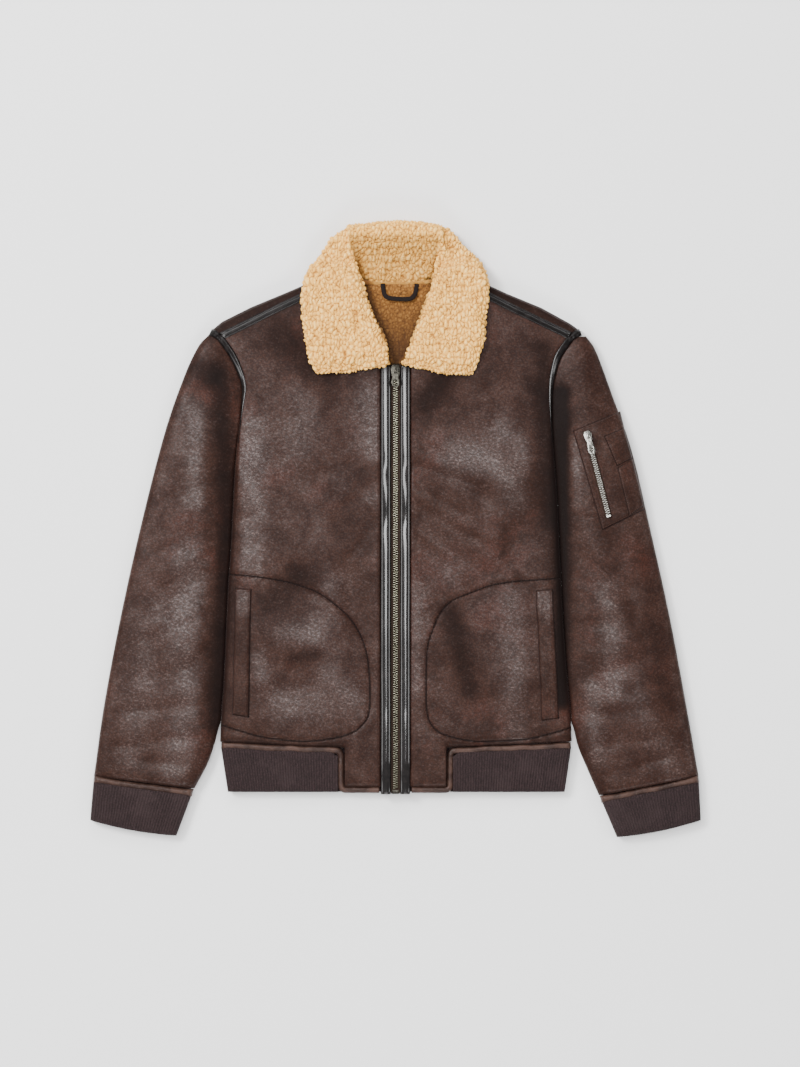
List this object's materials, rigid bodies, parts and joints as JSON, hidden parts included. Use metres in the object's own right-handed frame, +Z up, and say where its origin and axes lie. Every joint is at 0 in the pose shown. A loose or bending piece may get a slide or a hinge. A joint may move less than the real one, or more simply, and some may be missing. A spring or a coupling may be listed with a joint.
{
  "type": "aviator jacket",
  "caption": "Bonded suede aviator jacket laid flat on its back, zipped up, with a curly pile collar, patch welt pockets, a zipped sleeve pocket, ribbed hem and cuffs; both zip pulls swing.",
  "frame": {"origin": "on the surface the jacket lies on, under the middle of its outline", "axes": "+X towards the wearer's left sleeve, +Y towards the collar, +Z up from the back to the front"},
  "size_m": [0.794, 0.8, 0.0352],
  "materials": {
    "suede": "worn dark brown bonded suede with a dull sheen",
    "rolled_edge": "rolled edge of the same suede, worn lighter on top",
    "black_leather": "glossy black smooth leather, stitched along its edges",
    "rib_knit": "dark purple-brown ribbed knit",
    "collar_pile": "cream curly pile",
    "lining_pile": "tan curly pile, shorter than the collar's",
    "zip_tape": "brown woven tape",
    "webbing": "black narrow woven strap",
    "dark_nickel": "antique dark nickel, rubbed bright on its edges",
    "bright_nickel": "bright nickel"
  },
  "bodies": {
    "jacket": {"back": "suede", "front_left": "suede", "front_right": "suede", "pocket_panel_left": "suede", "pocket_panel_right": "suede", "sleeve_left_upper": "suede", "sleeve_right_upper": "suede", "sleeve_left_under": "suede", "sleeve_right_under": "suede", "sleeve_patch": "suede", "sleeve_pen_flap": "suede", "sleeve_pen_pocket": "suede", "hem_welt_left": "rolled_edge", "hem_welt_right": "rolled_edge", "hem_welt_back": "rolled_edge", "pocket_welt_left": "rolled_edge", "pocket_welt_right": "rolled_edge", "cuff_welt_left": "rolled_edge", "cuff_welt_right": "rolled_edge", "cuff_welt_left_under": "rolled_edge", "cuff_welt_right_under": "rolled_edge", "zip_placket_left": "black_leather", "zip_placket_right": "black_leather", "shoulder_tape_left": "black_leather", "shoulder_tape_right": "black_leather", "armhole_tape_left": "black_leather", "armhole_tape_right": "black_leather", "hem_rib_left": "rib_knit", "hem_rib_right": "rib_knit", "hem_rib_back": "rib_knit", "cuff_rib_left": "rib_knit", "cuff_rib_right": "rib_knit", "cuff_rib_left_under": "rib_knit", "cuff_rib_right_under": "rib_knit", "collar": "collar_pile", "back_neck_lining": "lining_pile", "zip_tape": "zip_tape", "hanger_loop": "webbing", "zip_chain": "dark_nickel", "front_zip_slider": "dark_nickel", "front_zip_stop": "dark_nickel", "sleeve_zip_chain": "bright_nickel", "sleeve_zip_slider": "bright_nickel"},
    "front_pull": {"front_zip_pull": "dark_nickel"},
    "sleeve_pull": {"sleeve_zip_pull": "bright_nickel"}
  },
  "joints": [
    {"name": "front_pull_swing", "type": "hinge", "parent": "jacket", "child": "front_pull", "pos_m": [0, 0.206, 0.0251], "axis": [-1, 0, 0], "range_deg": [0, 110]},
    {"name": "sleeve_pull_swing", "type": "hinge", "parent": "jacket", "child": "sleeve_pull", "pos_m": [0.249, 0.121, 0.03185], "axis": [-0.9679, -0.2513, 0], "range_deg": [0, 150]}
  ]
}
